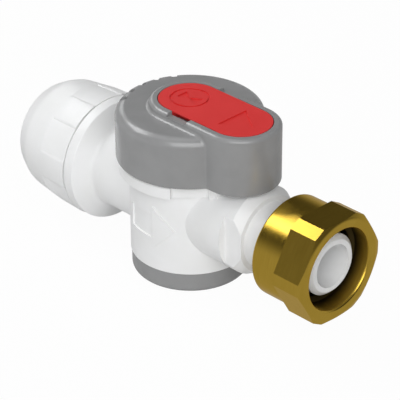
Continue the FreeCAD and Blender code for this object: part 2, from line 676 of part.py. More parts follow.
ball = doc.addObject("Part::Cut", "ball")
ball.Label = "ball"
ball.Base = drilled
ball.Tool = groove
ball.setExpression("Placement.Base.x", d.stem_offset.text)
doc.recompute()

# Stem: flange below the gland, two seal grooves, square for the lever, tang for the ball

groove_low_top = d.stem_groove_low_z + d.stem_groove_width
groove_high_top = d.stem_groove_high_z + d.stem_groove_width
body = turned("stem", "V_Axis", [
    (0, d.stem_flange_bottom_z),
    (d.stem_flange_radius, d.stem_flange_bottom_z),
    (d.stem_flange_radius, d.stem_flange_top_z),
    (d.stem_radius, d.stem_flange_top_z),
    (d.stem_radius, d.stem_groove_low_z),
    (d.stem_groove_radius, d.stem_groove_low_z),
    (d.stem_groove_radius, groove_low_top),
    (d.stem_radius, groove_low_top),
    (d.stem_radius, d.stem_groove_high_z),
    (d.stem_groove_radius, d.stem_groove_high_z),
    (d.stem_groove_radius, groove_high_top),
    (d.stem_radius, groove_high_top),
    (d.stem_radius, d.stem_square_z),
    (0, d.stem_square_z),
])
sketch = sketch_on(body, "XY_Plane", "square_outline", d.stem_square_z)
outline(sketch, bar(0.0, -d.stem_square_half, d.stem_square_half, d.stem_square_half))
extrude(body, sketch, d.stem_top_z - d.stem_square_z, "Pad", "square")
sketch = sketch_on(body, "XY_Plane", "tang_outline", d.tang_bottom_z)
tang_half_width = d.slot_half_width - d.close_gap * 2.0
outline(sketch, bar(90.0, -d.tang_half_length, d.tang_half_length, tang_half_width))
extrude(body, sketch, d.stem_flange_bottom_z - d.tang_bottom_z, "Pad", "tang")
sketch = sketch_on(body, "XY_Plane", "screw_hole_outline", d.stem_top_z)
circle(sketch, 0, 0, d.screw_radius + d.close_gap)
extrude(body, sketch, d.stem_top_z - d.screw_bottom_z + 0.5, "Pocket", "screw_hole")

# Stem washer: takes the stem's upward push under the gland

turned("stem_washer", "V_Axis", [
    (d.stem_radius + d.close_gap * 2.0, d.stem_flange_top_z + d.close_gap),
    (d.stem_flange_radius, d.stem_flange_top_z + d.close_gap),
    (d.stem_flange_radius, d.gland_floor_z - d.close_gap),
    (d.stem_radius + d.close_gap * 2.0, d.gland_floor_z - d.close_gap),
])

# Base cap: closes the chamber from below with a plug and a seal

plug_radius = d.chamber_bore_radius - d.close_gap * 2.0
groove_top = d.plug_groove_width - d.plug_groove_z
turned("base_cap", "V_Axis", [
    (0, d.base_recess_depth - d.base_bottom_z),
    (d.base_recess_radius, d.base_recess_depth - d.base_bottom_z),
    (d.base_recess_radius + 0.4, -d.base_bottom_z),
    (d.base_radius, -d.base_bottom_z, d.base_round),
    (d.base_radius, -d.chamber_bottom_z - d.close_gap),
    (plug_radius, -d.chamber_bottom_z - d.close_gap),
    (plug_radius, -d.plug_groove_z),
    (d.plug_groove_radius, -d.plug_groove_z),
    (d.plug_groove_radius, groove_top),
    (plug_radius, groove_top),
    (plug_radius, -d.plug_top_z),
    (d.plug_cup_radius, -d.plug_top_z),
    (d.plug_cup_radius, -d.plug_cup_z),
    (0, -d.plug_cup_z),
])

# Lever: hollow disc with a raised lever, pocket for the insert, hub, stop ribs and notches

body = new_body("lever_knob")
sketch = sketch_on(body, "XY_Plane", "lever_outline", d.lever_bottom_z)
slot(sketch, d.lever_reach, d.lever_radius)
extrude(body, sketch, d.lever_top_z - d.lever_bottom_z, "Pad", "lever_bar")
sketch = sketch_on(body, "XZ_Plane", "disc_section")
outline(sketch, [
    (0, d.lever_bottom_z),
    (d.disc_radius, d.lever_bottom_z),
    (d.disc_radius, d.disc_top_z, d.disc_round),
    (0, d.disc_top_z),
])
turn(body, sketch, "V_Axis", "Revolution", "disc")


def round_edges(body, wanted, radius, name):
    """Rounds the edges of the body for which wanted(edge) is true."""
    base = body.Tip
    chosen = ["Edge%d" % number for number, edge in enumerate(base.Shape.Edges, 1) if wanted(edge)]
    rounding = body.newObject("PartDesign::Fillet", name)
    rounding.Base = (base, chosen)
    rounding.setExpression("Radius", radius.text)
    doc.recompute()


def at_level(edge, level):
    """Whether an edge lies at one height."""
    return abs(edge.BoundBox.ZMin - level.value) < 1e-4 and abs(edge.BoundBox.ZMax - level.value) < 1e-4


def lever_root(edge):
    """Whether an edge is part of the hollow corner where the lever rises from the disc."""
    middle = edge.valueAt((edge.FirstParameter + edge.LastParameter) / 2)
    outside = middle.x > d.lever_reach.value
    side = abs(abs(middle.y) - d.lever_radius.value) < 1e-3
    end = abs(math.hypot(middle.x, middle.y) - d.lever_radius.value) < 1e-3 and middle.x < 0
    low = at_level(edge, d.lever_bottom_z) or at_level(edge, d.lever_top_z)
    return (side or end) and not outside and not low


round_edges(body, lever_root, d.lever_root_round, "lever_root")
round_edges(body, lambda edge: at_level(edge, d.lever_top_z), d.lever_round, "lever_rim")
round_edges(body, lambda edge: at_level(edge, d.lever_bottom_z), d.skirt_round, "skirt_edge")

# Hollow under the disc and under the lever's end.
sketch = sketch_on(body, "XY_Plane", "cavity_outline", d.lever_bottom_z)
circle(sketch, 0, 0, d.cavity_radius)
extrude(body, sketch, d.cavity_top_z - d.lever_bottom_z, "Pocket", "cavity", True)
sketch = sketch_on(body, "XY_Plane", "end_cavity_outline", d.lever_bottom_z)
slot(sketch, d.lever_reach, d.cavity_end_radius)
extrude(body, sketch, d.cavity_top_z - d.lever_bottom_z, "Pocket", "end_cavity", True)

# Hub with a square socket, and two ribs that meet the stop post at open and at closed.
sketch = sketch_on(body, "XY_Plane", "hub_outline", d.hub_bottom_z)
circle(sketch, 0, 0, d.hub_radius)
extrude(body, sketch, d.cavity_top_z - d.hub_bottom_z + 0.5, "Pad", "hub")
for angle, name in ((121.0, "open"), (239.0, "closed")):
    sketch = sketch_on(body, "XY_Plane", "rib_outline_" + name, d.rib_bottom_z)
    outline(sketch, bar(angle, d.rib_inner_radius, d.cavity_radius + 0.5, d.rib_half_width))
    extrude(body, sketch, d.cavity_top_z - d.rib_bottom_z + 0.5, "Pad", "rib_" + name)
sketch = sketch_on(body, "XY_Plane", "socket_outline", d.hub_bottom_z)
socket_half = d.stem_square_half + d.close_gap
outline(sketch, bar(0.0, -socket_half, socket_half, socket_half))
extrude(body, sketch, d.cavity_top_z - d.hub_bottom_z, "Pocket", "socket", True)

# Pocket for the insert, seat and hole for the screw, slots to prise the insert out.
sketch = sketch_on(body, "XY_Plane", "insert_pocket_outline", d.lever_top_z)
slot(sketch, d.lever_reach, d.insert_radius + d.insert_gap)
extrude(body, sketch, d.lever_top_z - d.insert_floor_z, "Pocket", "insert_pocket")
sketch = sketch_on(body, "XY_Plane", "head_seat_outline", d.insert_floor_z)
circle(sketch, 0, 0, d.head_radius + d.turning_gap)
extrude(body, sketch, d.insert_floor_z - d.head_floor_z, "Pocket", "head_seat")
sketch = sketch_on(body, "XY_Plane", "lever_hole_outline", d.insert_floor_z)
circle(sketch, 0, 0, d.screw_radius + d.close_gap * 4.0)
extrude(body, sketch, d.insert_floor_z - d.cavity_top_z + 1.0, "Pocket", "lever_hole")
for side, name in ((1.0, "far"), (-1.0, "near")):
    inner = d.insert_radius - d.prise_slit
    for outer, floor, part in ((d.lever_radius * 1.2, d.prise_floor_z, "slot"),
                               (d.insert_radius + d.prise_slit, d.insert_floor_z, "slit")):
        sketch = sketch_on(body, "XY_Plane", "prise_%s_outline_%s" % (part, name), d.lever_top_z)
        outline(sketch, [
            (d.prise_start_x, inner * side),
            (d.prise_end_x, inner * side),
            (d.prise_end_x, outer * side),
            (d.prise_start_x, outer * side),
        ])
        extrude(body, sketch, d.lever_top_z - floor, "Pocket", "prise_%s_%s" % (part, name))

# Finger notches in the disc on the side away from the lever.
for step in range(-2, 3):
    sketch = sketch_on(body, "XY_Plane", "notch_outline_%d" % (step + 3), d.disc_top_z + 1.0)
    inner_near, outer_near, outer_far, inner_far = bar(
        180.0 + 15.5 * step, d.notch_floor, d.disc_radius + 1.0, d.notch_half_width)
    outline(sketch, [inner_near + (0.7,), outer_near, outer_far, inner_far + (0.7,)])
    extrude(body, sketch, d.disc_top_z - d.notch_bottom_z + 1.0, "Pocket", "notch_%d" % (step + 3))

# Screw: holds the lever down on the stem

body = turned("knob_screw", "V_Axis", [
    (0, d.screw_bottom_z),
    (d.screw_radius, d.screw_bottom_z),
    (d.screw_radius, d.head_floor_z + d.close_gap),
    (d.head_radius, d.head_floor_z + d.close_gap),
    (d.head_radius, d.head_top_z, 0.8),
    (0, d.head_top_z),
])
sketch = sketch_on(body, "XY_Plane", "driver_outline", d.head_top_z)
w = d.driver_half_width
r = d.driver_half_length
outline(sketch, [(r, -w), (r, w), (w, w), (w, r), (-w, r), (-w, w),
                 (-r, w), (-r, -w), (-w, -w), (-w, -r), (w, -r), (w, -w)])
extrude(body, sketch, d.driver_depth, "Pocket", "driver_recess")

# Insert: coloured plate clipped into the lever, with a plain valve sign and a flow arrow

body = new_body("indicator_insert")
insert_bottom_z = d.insert_floor_z + d.close_gap
sketch = sketch_on(body, "XY_Plane", "insert_outline", insert_bottom_z)
slot(sketch, d.lever_reach, d.insert_radius)
extrude(body, sketch, d.lever_top_z - insert_bottom_z, "Pad", "insert_plate")
for side, name in ((1.0, "far"), (-1.0, "near")):
    sketch = sketch_on(body, "XY_Plane", "undercut_outline_" + name, insert_bottom_z)
    outline(sketch, [
        (d.prise_start_x, (d.insert_radius - d.prise_undercut) * side),
        (d.prise_end_x, (d.insert_radius - d.prise_undercut) * side),
        (d.prise_end_x, (d.insert_radius + 1.0) * side),
        (d.prise_start_x, (d.insert_radius + 1.0) * side),
    ])
    extrude(body, sketch, d.lever_top_z - d.prise_lip - insert_bottom_z, "Pocket", "undercut_" + name, True)
sketch = sketch_on(body, "XY_Plane", "ring_mark_outline", d.lever_top_z)
circle(sketch, 0, 0, d.mark_ring_radius)
circle(sketch, 0, 0, d.mark_ring_radius - d.mark_line)
extrude(body, sketch, d.mark_depth, "Pocket", "ring_mark")
for way, name in ((1.0, "out"), (-1.0, "in")):
    sketch = sketch_on(body, "XY_Plane", "wing_outline_" + name, d.lever_top_z)
    outline(sketch, [(d.mark_wing * (0.06 * way), 0), (d.mark_wing * way, -d.mark_wing * 0.62),
                     (d.mark_wing * way, d.mark_wing * 0.62)])
    extrude(body, sketch, d.mark_depth, "Pocket", "wing_" + name)
sketch = sketch_on(body, "XY_Plane", "arrow_mark_outline", d.lever_top_z)
outline(sketch, [(d.mark_head_x, -d.mark_head_half), (d.mark_tip_x, 0), (d.mark_head_x, d.mark_head_half)])
extrude(body, sketch, d.mark_depth, "Pocket", "arrow_mark")

# Union nut: brass, swivels on the shank behind the retaining ring

body = new_body("union_nut")


def hexagon(sketch, flat, corner):
    """A hexagon with flats above and below and truncated corners."""
    half = (corner - flat * math.cos(math.radians(30.0))) * 2.0
    corners = []
    for k in range(6):
        c = math.cos(math.radians(90.0 + 60.0 * k))
        s = math.sin(math.radians(90.0 + 60.0 * k))
        corners.append((flat * c + half * s, flat * s - half * c))
        corners.append((flat * c - half * s, flat * s + half * c))
    outline(sketch, corners)


sketch = sketch_on(body, "YZ_Plane", "hexagon_outline", d.nut_hex_x)
hexagon(sketch, d.nut_flat, d.nut_corner)
extrude(body, sketch, d.nut_front_x - d.nut_hex_x, "Pad", "hexagon")
sketch = sketch_on(body, "XZ_Plane", "collar_section")
outline(sketch, [
    (d.nut_back_x, 0),
    (d.nut_back_x, d.nut_collar_radius, 0.7),
    (d.nut_hex_x + 0.5, d.nut_collar_radius),
    (d.nut_hex_x + 0.5, 0),
])
turn(body, sketch, "H_Axis", "Revolution", "nut_collar")
sketch = sketch_on(body, "XZ_Plane", "nut_bore_section")
lip_radius = d.shank_radius + d.turning_gap
outline(sketch, [
    (d.nut_back_x - 1.0, 0),
    (d.nut_back_x - 1.0, lip_radius),
    (d.nut_lip_x, lip_radius),
    (d.nut_lip_x, d.thread_radius),
    (d.nut_front_x + 1.0, d.thread_radius),
    (d.nut_front_x + 1.0, 0),
])
turn(body, sketch, "H_Axis", "Groove", "nut_bore")
sketch = sketch_on(body, "XZ_Plane", "front_cone_section")
outline(sketch, [
    (d.nut_front_x + d.nut_cone_length, d.nut_face_radius - 1.0),
    (d.nut_front_x + d.nut_cone_length, d.nut_face_radius + 3.0),
    (d.nut_front_x - d.nut_cone_length * 3.0, d.nut_face_radius + 3.0),
])
turn(body, sketch, "H_Axis", "Groove", "front_cone")


def face_ring(radius):
    """Picks the round edge of the given radius on the nut's front face."""
    def wanted(edge):
        box = edge.BoundBox
        flat = abs(box.XMin - d.nut_front_x.value) < 1e-4 and abs(box.XMax - d.nut_front_x.value) < 1e-4
        return flat and abs(box.ZMax - radius.value) < 1e-3
    return wanted


round_edges(body, face_ring(d.thread_radius), d.mouth_round, "mouth_rounding")
round_edges(body, face_ring(d.nut_face_radius), d.nut_face_round, "face_rounding")

# Retaining ring: split spring ring in the shank's groove, keeps the nut on

ring_back_x = d.ring_groove_x + d.close_gap
ring_front_x = d.ring_groove_x + d.ring_groove_width - d.close_gap
body = turned("nut_retaining_ring", "H_Axis", [
    (ring_back_x, d.ring_groove_radius + d.close_gap),
    (ring_back_x, d.ring_radius),
    (ring_front_x, d.ring_radius),
    (ring_front_x, d.ring_groove_radius + d.close_gap),
])
sketch = sketch_on(body, "YZ_Plane", "ring_gap_outline", ring_front_x + 1.0)
outline(sketch, bar(-90.0, d.ring_groove_radius - 1.0, d.ring_radius + 1.0, d.ring_gap_half))
extrude(body, sketch, d.ring_groove_width + 2.0, "Pocket", "ring_gap")

# Sealing washer: flat rubber ring on the spigot's shoulder

washer_back_x = d.shank_end_x + d.close_gap
washer_front_x = washer_back_x + d.washer_thickness
turned("sealing_washer", "H_Axis", [
    (washer_back_x, d.washer_seat_radius + d.close_gap),
    (washer_back_x, d.washer_radius),
    (washer_front_x, d.washer_radius),
    (washer_front_x, d.washer_seat_radius + d.close_gap),
])

# Check every object, then write one file per piece

doc.recompute()
for entry in doc.Objects:
    if "Invalid" in entry.State or "Error" in entry.State:
        raise RuntimeError("%s is %s" % (entry.Name, entry.State))
NODES = ["valve_body", "inlet_cap", "grab_ring", "spacer_ring", "inlet_o_ring", "inlet_seat", "outlet_seat",
         "ball", "stem", "stem_washer", "stem_o_ring_lower", "stem_o_ring_upper", "base_cap",
         "base_cap_o_ring", "lever_knob", "knob_screw", "indicator_insert", "union_nut",
         "nut_retaining_ring", "sealing_washer"]
os.makedirs("parts", exist_ok=True)
for label in NODES:
    node = doc.getObjectsByLabel(label)[0]
    shape = node.Shape
    if shape.isNull() or not shape.isValid() or len(shape.Solids) != 1:
        raise RuntimeError("%s has no single valid solid" % label)
    shape.exportStep("parts/%s.step" % label)
    box = shape.BoundBox
    print("%-20s %9.1f mm3  x %6.2f..%6.2f  y %6.2f..%6.2f  z %6.2f..%6.2f" % (
        label, shape.Volume, box.XMin, box.XMax, box.YMin, box.YMax, box.ZMin, box.ZMax))
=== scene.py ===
import bpy
import bmesh
import math
from mathutils import Matrix, Vector


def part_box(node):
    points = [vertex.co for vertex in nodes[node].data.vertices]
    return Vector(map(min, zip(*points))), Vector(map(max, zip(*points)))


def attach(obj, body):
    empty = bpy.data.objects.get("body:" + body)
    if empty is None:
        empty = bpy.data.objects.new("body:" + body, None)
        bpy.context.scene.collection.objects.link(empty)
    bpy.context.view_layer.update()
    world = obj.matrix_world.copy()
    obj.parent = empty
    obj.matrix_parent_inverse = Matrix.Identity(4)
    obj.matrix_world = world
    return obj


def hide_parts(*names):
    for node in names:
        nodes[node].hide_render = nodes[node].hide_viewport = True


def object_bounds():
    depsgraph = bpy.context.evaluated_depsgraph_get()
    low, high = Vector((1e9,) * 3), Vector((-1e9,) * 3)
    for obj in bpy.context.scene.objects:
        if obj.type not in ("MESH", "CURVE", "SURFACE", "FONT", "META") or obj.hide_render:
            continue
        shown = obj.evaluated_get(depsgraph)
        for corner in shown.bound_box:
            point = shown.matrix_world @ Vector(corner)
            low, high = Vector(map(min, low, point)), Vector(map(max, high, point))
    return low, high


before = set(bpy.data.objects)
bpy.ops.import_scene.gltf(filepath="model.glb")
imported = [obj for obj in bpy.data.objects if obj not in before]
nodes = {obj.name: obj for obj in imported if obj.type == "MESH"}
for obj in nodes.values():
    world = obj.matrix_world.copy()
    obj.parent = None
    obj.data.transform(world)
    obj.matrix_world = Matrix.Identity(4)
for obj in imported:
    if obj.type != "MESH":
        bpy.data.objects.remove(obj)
cad_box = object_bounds()

# Valve body: one injection moulding in white polybutylene with the pipe socket, the
# chamber, the gland tower and the outlet spigot. Moulded plastic gives a soft sheen,
# a very slight unevenness of gloss and a fine orange peel.

MM = 0.001


def linear(code):
    """An sRGB hex colour as linear red, green, blue and alpha."""
    parts = [int(code[k:k + 2], 16) / 255 for k in (1, 3, 5)]
    return [p / 12.92 if p <= 0.04045 else ((p + 0.055) / 1.055) ** 2.4 for p in parts] + [1.0]


def add(tree, kind, settings=None, links=None):
    """Adds a node with its settings and links its inputs, by name or by number."""
    node = tree.nodes.new(kind)
    for name, value in (settings or {}).items():
        if isinstance(name, int) or name in node.inputs:
            node.inputs[name].default_value = value
        else:
            setattr(node, name, value)
    for name, source in (links or {}).items():
        tree.links.new(source, node.inputs[name])
    return node


def material(name, values):
    """A material with even values on its shader, its tree, shader and object coordinates."""
    made = bpy.data.materials.new(name)
    made.use_nodes = True
    tree = made.node_tree
    shader = tree.nodes["Principled BSDF"]
    for socket, value in values.items():
        shader.inputs[socket].default_value = value
    place = add(tree, "ShaderNodeTexCoord").outputs["Object"]
    return made, tree, shader, place


def mottle(tree, place, size, detail):
    """Noise with patches of a size given in metres."""
    settings = {"Scale": 1 / size, "Detail": detail}
    return add(tree, "ShaderNodeTexNoise", settings, {"Vector": place}).outputs["Fac"]


def tones(tree, pattern, dark, pale, low=0.0, high=1.0):
    """Two sRGB colours, blended where a pattern runs from low to high."""
    ramp = add(tree, "ShaderNodeValToRGB", None, {"Fac": pattern})
    first, last = ramp.color_ramp.elements
    first.position = low
    first.color = linear(dark)
    last.position = high
    last.color = linear(pale)
    return ramp.outputs["Color"]


def spread(tree, value, ends, reach=(0.0, 1.0)):
    """A value that runs over a reach, brought to two end values and held beyond them."""
    settings = {"From Min": reach[0], "From Max": reach[1], "To Min": ends[0], "To Max": ends[1]}
    return add(tree, "ShaderNodeMapRange", settings, {"Value": value}).outputs["Result"]


def relief(tree, pattern, strength, depth):
    """The normals of a bump with a depth given in metres."""
    settings = {"Strength": strength, "Distance": depth}
    return add(tree, "ShaderNodeBump", settings, {"Height": pattern}).outputs["Normal"]


def join(tree, shader, links):
    """Links patterns to the sockets of a shader."""
    for socket, source in links.items():
        tree.links.new(source, shader.inputs[socket])


def coat(node, made):
    """Gives a CAD piece its material."""
    mesh = nodes[node].data
    mesh.materials.clear()
    mesh.materials.append(made)


white, tree, shader, place = material(
    "moulded_white_polybutylene", {"IOR": 1.5, "Specular IOR Level": 0.45})
flow_size = 9 * MM
peel_size = 0.7 * MM
peel_depth = 0.05 * MM
peel_strength = 0.03
flow = mottle(tree, place, flow_size, 3.0)
peel = mottle(tree, place, peel_size, 2.0)
join(tree, shader, {
    "Base Color": tones(tree, flow, "#EDEDEC", "#F2F2F2", 0.3, 0.7),
    "Roughness": spread(tree, flow, (0.30, 0.42)),
    "Normal": relief(tree, peel, peel_strength, peel_depth)})
coat("valve_body", white)

# Seat rings and stem washer: white low-friction plastic, turned from rod and pressed in
# on both sides of the ball and under the gland. It is dull, with a fine mottle.

seat, tree, shader, place = material("turned_ptfe", {"IOR": 1.38, "Roughness": 0.5})
mottle_size = 0.4 * MM
dull_spots = mottle(tree, place, mottle_size, 2.0)
join(tree, shader, {"Base Color": tones(tree, dull_spots, "#E2E2E0", "#EEEEEC")})
for ring in ("inlet_seat", "outlet_seat", "stem_washer"):
    coat(ring, seat)

# Ball: bored brass, ground round and chromium plated, loose between its two seats.
# Plating mirrors the room and shows only the faintest polishing marks.

plated, tree, shader, place = material("chromium_plate", {"Metallic": 1.0})
mark_size = 0.5 * MM
marks = mottle(tree, place, mark_size, 4.0)
join(tree, shader, {
    "Base Color": tones(tree, marks, "#B9BABC", "#C6C7C9"),
    "Roughness": spread(tree, marks, (0.06, 0.16))})
coat("ball", plated)

# Stem and spacer ring: undyed acetal, moulded. The stem carries the lever on its square
# and turns the ball with its tang; the spacer backs the pipe seal in the socket.

acetal, tree, shader, place = material("undyed_acetal", {"IOR": 1.48, "Roughness": 0.42})
flow_size = 5 * MM
flow = mottle(tree, place, flow_size, 3.0)
join(tree, shader, {"Base Color": tones(tree, flow, "#DAD8CF", "#E6E4DC")})
for moulding in ("stem", "spacer_ring"):
    coat(moulding, acetal)

# Seals: rings of black nitrile rubber of round section in their grooves, and the flat
# washer behind the spigot. Rubber is dark and dull, with a faint bloom on it.

rubber, tree, shader, place = material("nitrile_rubber", {"IOR": 1.52, "Roughness": 0.62})
bloom_size = 1.5 * MM
bloom = mottle(tree, place, bloom_size, 5.0)
join(tree, shader, {"Base Color": tones(tree, bloom, "#1B1B1C", "#2B2B2D")})
for ring in ("inlet_o_ring", "stem_o_ring_lower", "stem_o_ring_upper", "base_cap_o_ring",
             "sealing_washer"):
    coat(ring, rubber)

# Base cap and lever: grey polypropylene mouldings. The cap closes the chamber from below,
# the lever is a hollow disc pushed on the stem's square. Their satin surface has a fine
# spark-eroded grain that the eye sees as an even dull sheen.

grey, tree, shader, place = material(
    "satin_grey_polypropylene", {"IOR": 1.49, "Specular IOR Level": 0.75})
flow_size = 6 * MM
grain_size = 0.35 * MM
grain_depth = 0.04 * MM
grain_strength = 0.05
flow = mottle(tree, place, flow_size, 4.0)
grain = mottle(tree, place, grain_size, 2.0)
join(tree, shader, {
    "Base Color": tones(tree, flow, "#8F8F8F", "#959595", 0.3, 0.7),
    "Roughness": spread(tree, grain, (0.20, 0.27)),
    "Normal": relief(tree, grain, grain_strength, grain_depth)})
for moulding in ("base_cap", "lever_knob"):
    coat(moulding, grey)

# Screw and spring rings: stainless steel. The screw holds the lever down under the insert,
# the split ring keeps the nut on its shank and the toothed ring grips the pipe.

steel, tree, shader, place = material("stainless_steel", {"Metallic": 1.0})
drawn_size = 0.3 * MM
drawn = mottle(tree, place, drawn_size, 3.0)
join(tree, shader, {
    "Base Color": tones(tree, drawn, "#B4B4B2", "#C8C8C6"),
    "Roughness": spread(tree, drawn, (0.22, 0.36))})
for fixing in ("knob_screw", "nut_retaining_ring", "grab_ring"):
    coat(fixing, steel)

# Insert: a red ABS plate clipped into the lever, with a plain valve sign and an arrow sunk
# into its top. Its soft gloss has a trace of flow marks.

red, tree, shader, place = material("gloss_red_abs", {"IOR": 1.53, "Specular IOR Level": 0.3})
flow_size = 7 * MM
flow = mottle(tree, place, flow_size, 3.0)
join(tree, shader, {
    "Base Color": tones(tree, flow, "#DB3433", "#E03938", 0.3, 0.7),
    "Roughness": spread(tree, flow, (0.34, 0.46))})
coat("indicator_insert", red)

# Inlet cap: white, the same moulding material as the body, screwed over the socket. It
# keeps the toothed ring and the seal in. The edges of its six shallow grip panels slope,
# so a copy of the piece has them milled out by a cutter with slanting sides.

cap_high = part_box("inlet_cap")[1]
panels = 6
panel_end = 13.9 * MM
panel_half = math.radians(15.5)
floor_at_end = 15.84 * MM
floor_at_face = 16.30 * MM
slant = math.radians(6.5)
cutter_top = 18.5 * MM
cutter_run = 2.3 * MM
cutter_front = cap_high.x + 1.0 * MM
floor_steps = 62
near_top = 0.1 * MM
near_side = 0.01
weld = 0.0005 * MM
crease = math.radians(25)


def new_object(name, shape):
    """A new object at the origin from a bmesh, which is freed."""
    mesh = bpy.data.meshes.new(name)
    shape.to_mesh(mesh)
    shape.free()
    made = bpy.data.objects.new(name, mesh)
    bpy.context.scene.collection.objects.link(made)
    return made


mill = bmesh.new()
section = [mill.verts.new((along, 0.0, radius)) for along, radius in (
    (panel_end, floor_at_end), (cutter_front, floor_at_face),
    (cutter_front, cutter_top), (panel_end - cutter_run, cutter_top))]
blade = mill.faces.new(section)
bmesh.ops.rotate(
    mill, verts=mill.verts, cent=(0, 0, 0), matrix=Matrix.Rotation(-panel_half, 3, "X"))
bmesh.ops.spin(
    mill, geom=section + list(blade.edges) + [blade], cent=(0, 0, 0), axis=(1, 0, 0),
    angle=2 * panel_half, steps=floor_steps, use_merge=False, use_duplicate=False)
outer = [v for v in mill.verts if v.co.yz.length > cutter_top - near_top]
for side in (-1, 1):
    lip = [v for v in outer if side * math.atan2(-v.co.y, v.co.z) > panel_half - near_side]
    bmesh.ops.rotate(
        mill, verts=lip, cent=(0, 0, 0), matrix=Matrix.Rotation(side * slant, 3, "X"))
bmesh.ops.recalc_face_normals(mill, faces=mill.faces)
bmesh.ops.spin(
    mill, geom=list(mill.verts) + list(mill.edges) + list(mill.faces), cent=(0, 0, 0),
    axis=(1, 0, 0), angle=2 * math.pi * (panels - 1) / panels, steps=panels - 1,
    use_merge=False, use_duplicate=True)
tool = new_object("panel_mill", mill)
blank = bmesh.new()
blank.from_mesh(nodes["inlet_cap"].data)
bmesh.ops.remove_doubles(blank, verts=blank.verts, dist=weld)
work = new_object("cap_blank", blank)
milled = work.modifiers.new("grip_panels", "BOOLEAN")
milled.operation = "DIFFERENCE"
milled.solver = "EXACT"
milled.object = tool
bpy.context.view_layer.update()
finished = work.evaluated_get(bpy.context.evaluated_depsgraph_get())
mesh = bpy.data.meshes.new_from_object(finished)
mesh.name = "grip_cap"
bpy.data.objects.remove(work)
bpy.data.objects.remove(tool)
mesh.shade_smooth()
mesh.set_sharp_from_angle(angle=crease)
mesh.materials.clear()
mesh.materials.append(white)
grip_cap = bpy.data.objects.new("grip_cap", mesh)
bpy.context.scene.collection.objects.link(grip_cap)
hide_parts("inlet_cap")
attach(grip_cap, "housing")

# Union nut: turned and milled from brass bar, loose on the shank so that it can be done
# up. Fine tool marks about its axis dull the mirror a little, and the bore is duller than
# the outside and carries painted shade, darker further in.

nut_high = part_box("union_nut")[1]
mark_pitch = 0.25 * MM
mark_length = 6 * MM
mark_depth = 0.02 * MM
mark_strength = 0.02
bore_edge = (10.5 * MM, 10.62 * MM)
bore_shade_reach = (nut_high.x - 4.5 * MM, nut_high.x - 1.5 * MM)
bore_shade_share = (1.0, 0.2)
bore_dulls = 0.25
mix_share, mix_clean, mix_shaded, mix_colour = 0, 6, 7, 2
brass, tree, shader, place = material(
    "machined_brass", {"Metallic": 1.0, "Specular Tint": linear("#FFF0CC")})
stretch = add(tree, "ShaderNodeMapping", {
    "Scale": (1 / mark_pitch, 1 / mark_length, 1 / mark_length)}, {"Vector": place})
cuts = mottle(tree, stretch.outputs["Vector"], 1.0, 3.0)
across = add(tree, "ShaderNodeVectorMath", {"operation": "MULTIPLY", 1: (0.0, 1.0, 1.0)}, {
    0: place})
off_axis = add(tree, "ShaderNodeVectorMath", {"operation": "LENGTH"}, {
    0: across.outputs["Vector"]})
# Painted shade: on the bore's wall the brass colour is mixed toward dark brown, fully at the far
# end and a fifth of the way at the mouth.
inside = spread(tree, off_axis.outputs["Value"], (1.0, 0.0), bore_edge)
along = add(tree, "ShaderNodeSeparateXYZ", None, {"Vector": place}).outputs["X"]
depth = spread(tree, along, bore_shade_share, bore_shade_reach)
painted_bore_shade = add(tree, "ShaderNodeMath", {"operation": "MULTIPLY"}, {0: inside, 1: depth})
bore = add(tree, "ShaderNodeMix", {"data_type": "RGBA", mix_shaded: linear("#4A4026")}, {
    mix_share: painted_bore_shade.outputs["Value"],
    mix_clean: tones(tree, cuts, "#C09E3C", "#CAA846", 0.25, 0.75)})
dull = add(tree, "ShaderNodeMath", {"operation": "MULTIPLY_ADD", 1: bore_dulls}, {
    0: inside, 2: spread(tree, cuts, (0.18, 0.28))})
join(tree, shader, {
    "Base Color": bore.outputs[mix_colour],
    "Roughness": dull.outputs["Value"],
    "Normal": relief(tree, cuts, mark_strength, mark_depth)})
coat("union_nut", brass)

# Nut thread: the half-inch parallel pipe thread cut inside the nut, 14 threads to the inch,
# drawn as one turn of a right-hand brass ridge, wound along the bore behind a plain mouth.

pitch = 1.814 * MM
steps = 72
crest = 9.35 * MM
crest_round = 0.12 * MM
root = 10.6 * MM
plain_mouth = 4.3 * MM
ridge_run = 2 * pitch
thread_weld = 0.001 * MM
start = nut_high.x - plain_mouth - ridge_run
shoulder = crest + crest_round
profile = [(0.0, root), (0.44, shoulder), (0.5, crest), (0.56, shoulder), (1.0, root)]
thread = bmesh.new()
section = [thread.verts.new((start + share * pitch, 0.0, radius)) for share, radius in profile]
edges = [thread.edges.new(pair) for pair in zip(section, section[1:] + section[:1])]
end_face = thread.faces.new(section)
bmesh.ops.spin(
    thread, geom=section + edges + [end_face], cent=(0, 0, 0), axis=(1, 0, 0),
    dvec=(pitch / steps, 0, 0), angle=2 * math.pi, steps=steps,
    use_merge=False, use_duplicate=False)
bmesh.ops.remove_doubles(thread, verts=thread.verts, dist=thread_weld)
bmesh.ops.recalc_face_normals(thread, faces=thread.faces)
ridge = new_object("nut_thread", thread)
ridge.data.materials.append(brass)
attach(ridge, "nut")
